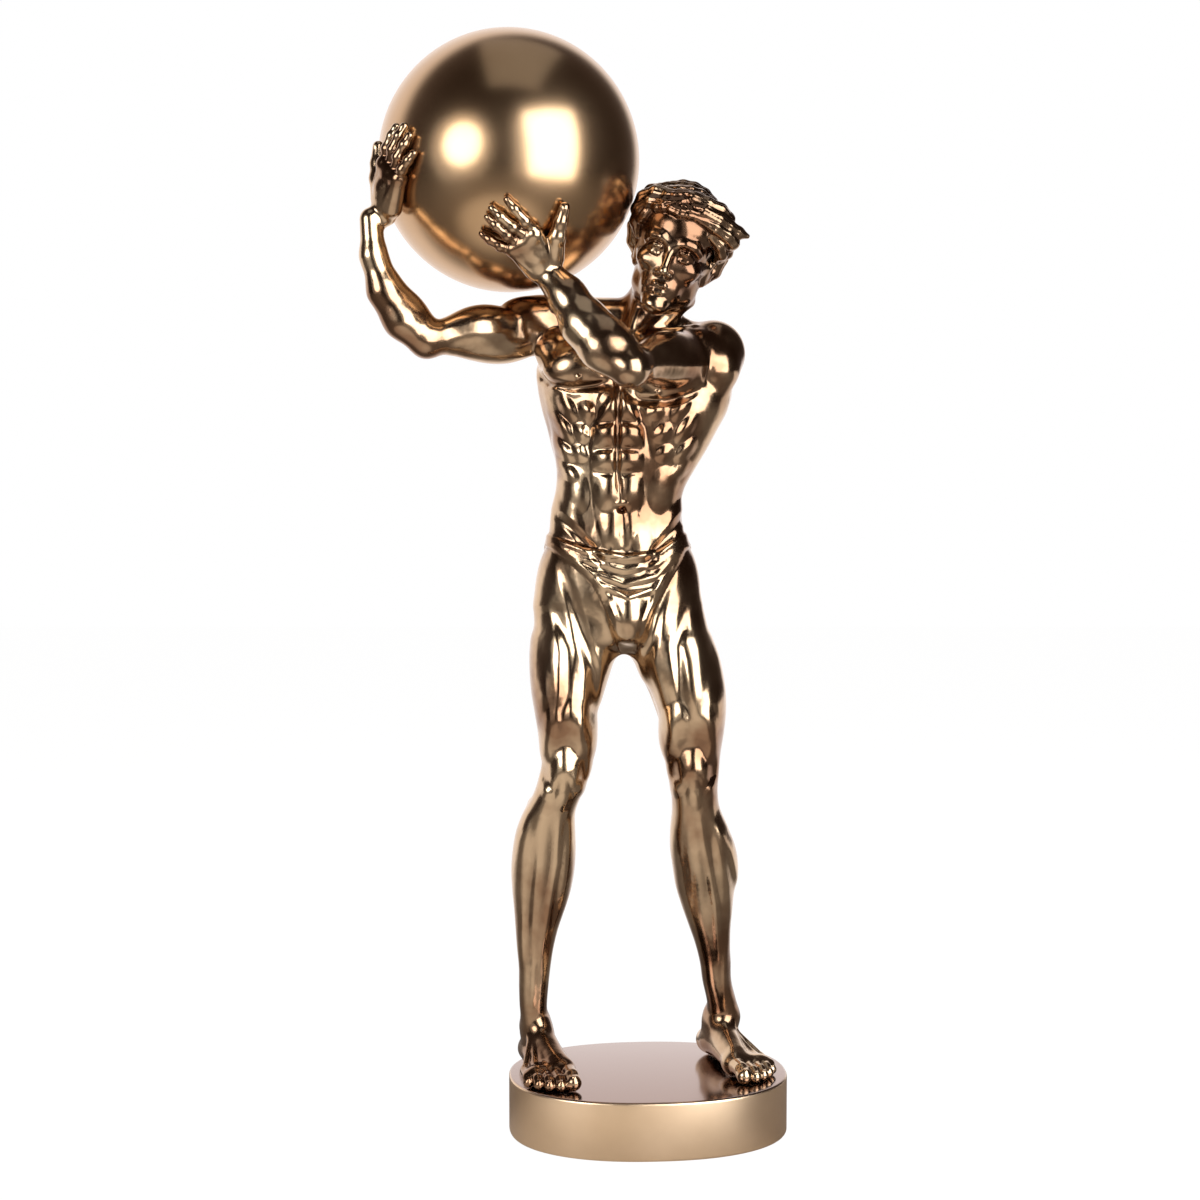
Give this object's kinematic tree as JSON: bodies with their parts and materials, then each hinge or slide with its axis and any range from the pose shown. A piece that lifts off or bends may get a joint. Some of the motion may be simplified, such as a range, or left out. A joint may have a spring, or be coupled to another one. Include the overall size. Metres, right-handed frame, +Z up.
{
  "type": "bodybuilder statue",
  "caption": "Cast bronze-finish statuette of a lean athlete in trunks who steadies a great plain ball on the right shoulder and stands on a low rounded plinth.",
  "frame": {"origin": "centre of the plinth's underside", "axes": "+Z up, -Y the way the figure faces, +X to the figure's left"},
  "size_m": [0.2296, 0.1465, 0.6003],
  "materials": {
    "polished_bronze": "polished, dark bronze patina",
    "satin_bronze": "satin bronze"
  },
  "bodies": {
    "root": {"figure": "polished_bronze", "ball": "satin_bronze", "plinth": "satin_bronze"}
  },
  "joints": []
}
